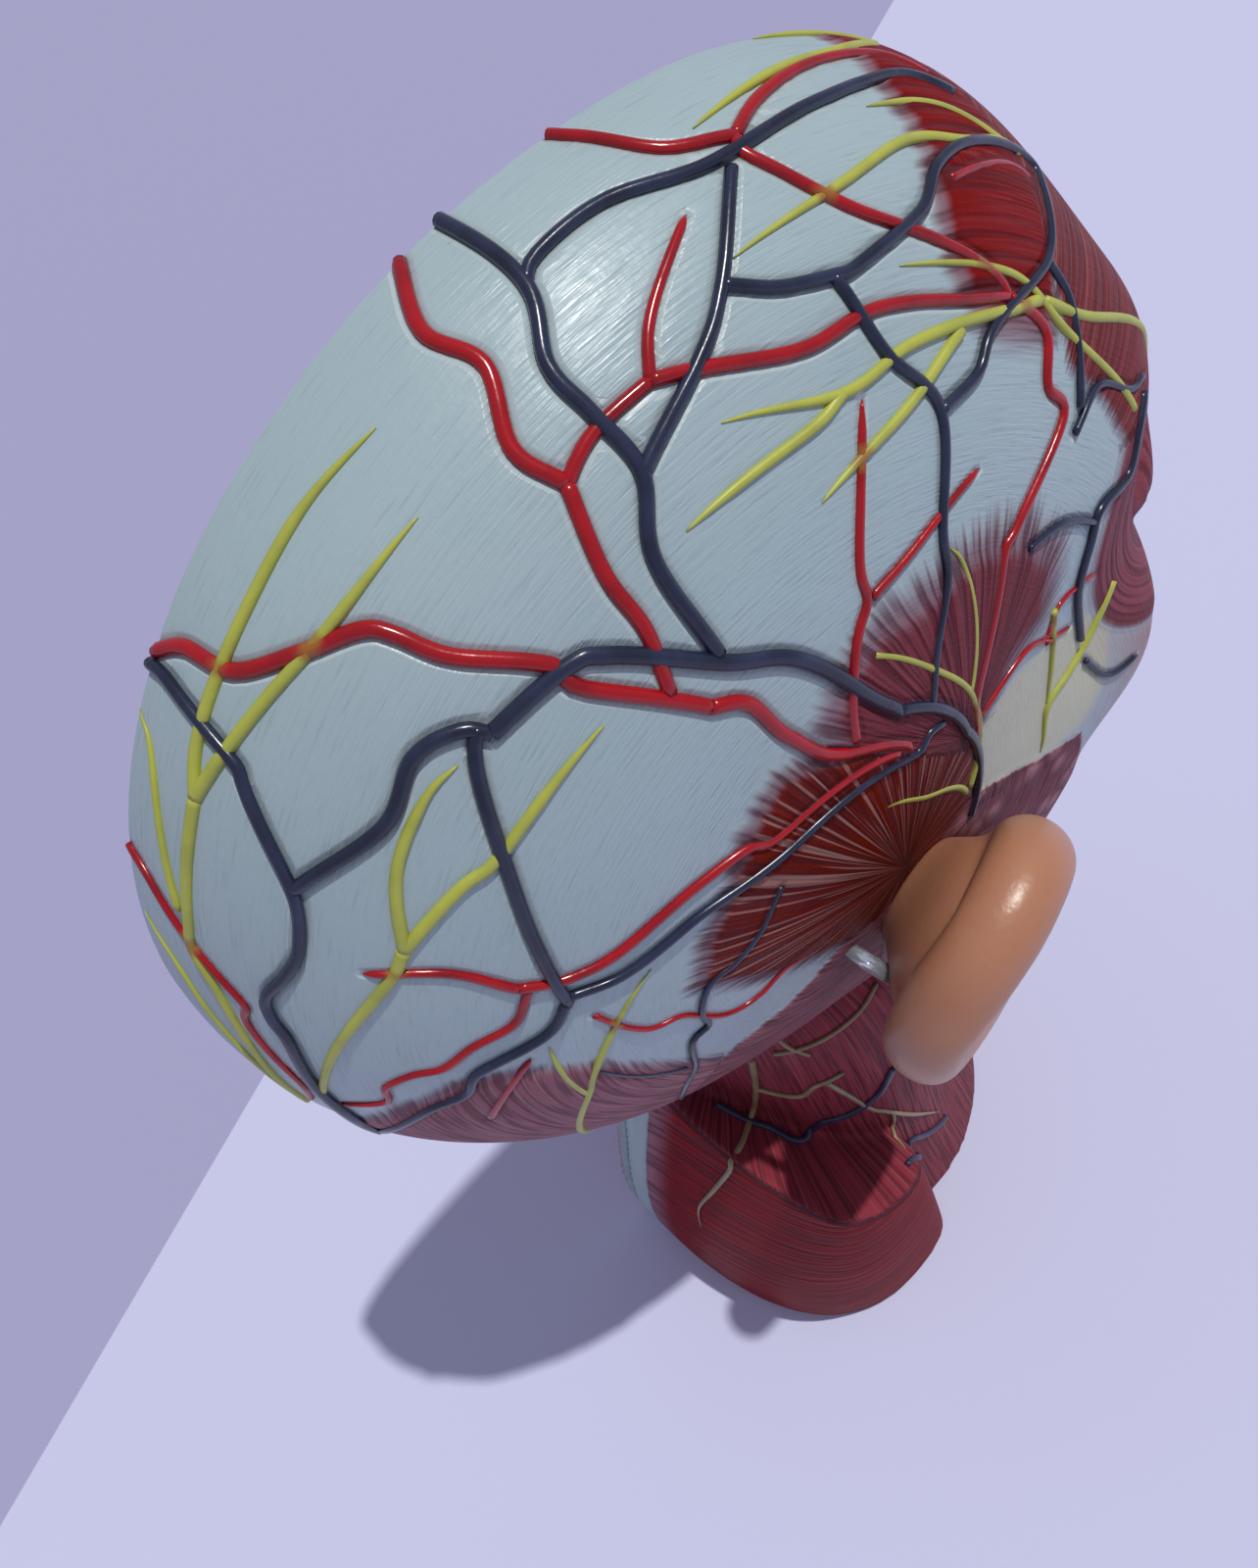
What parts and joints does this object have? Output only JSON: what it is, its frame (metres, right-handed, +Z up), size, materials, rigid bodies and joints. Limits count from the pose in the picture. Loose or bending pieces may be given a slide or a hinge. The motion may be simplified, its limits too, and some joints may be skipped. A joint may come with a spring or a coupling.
{
  "type": "half head anatomy model",
  "caption": "Life-size right half of an anatomical head on its cut neck, with muscles, vessels and nerves in relief and a separate ear.",
  "frame": {"origin": "on the median edge of the flat neck base, halfway between the front and the back of the neck", "axes": "+Z up; the face looks along -Y; the median plane is x = 0 and the ear side is -X"},
  "size_m": [0.0867, 0.2202, 0.311],
  "materials": {
    "lateral_casting": "cast PVC, hand painted and lacquered",
    "median_section": "cast PVC, hand painted",
    "ear": "soft cast PVC, skin coloured",
    "ear_prop_tube": "clear tube"
  },
  "bodies": {
    "root": {"lateral_casting": "lateral_casting", "median_section": "median_section", "ear": "ear", "ear_prop_tube": "ear_prop_tube"}
  },
  "joints": []
}
